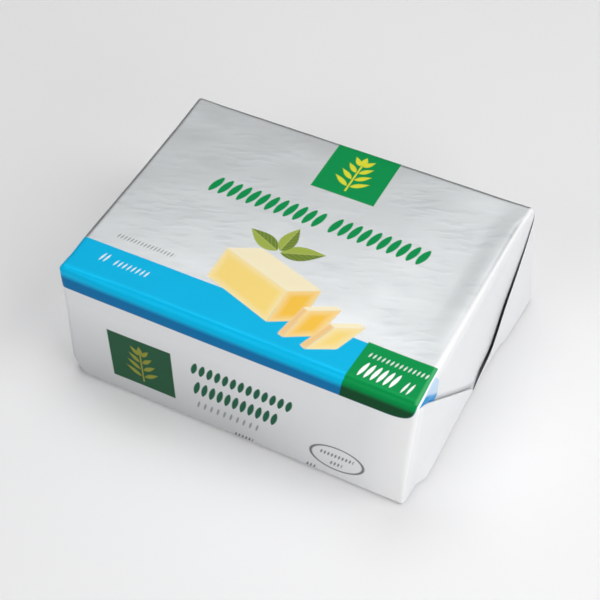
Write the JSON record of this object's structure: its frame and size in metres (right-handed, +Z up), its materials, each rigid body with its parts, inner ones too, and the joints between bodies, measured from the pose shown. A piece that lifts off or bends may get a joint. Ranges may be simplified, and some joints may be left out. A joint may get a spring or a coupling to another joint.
{
  "type": "foil-wrapped butter block",
  "caption": "Block of butter shut in a printed foil wrapper, folded into ears on both ends and lapped underneath, lying flat on its base.",
  "frame": {"origin": "on the surface that the pack rests on, under the middle of its bounding box", "axes": "+X along the pack's length, +Y from the printed long side to the back, +Z up through the printed top"},
  "size_m": [0.1032, 0.08, 0.037],
  "materials": {
    "printed_foil": "satin printed foil"
  },
  "bodies": {
    "root": {"butter_pack": "printed_foil"}
  },
  "joints": []
}
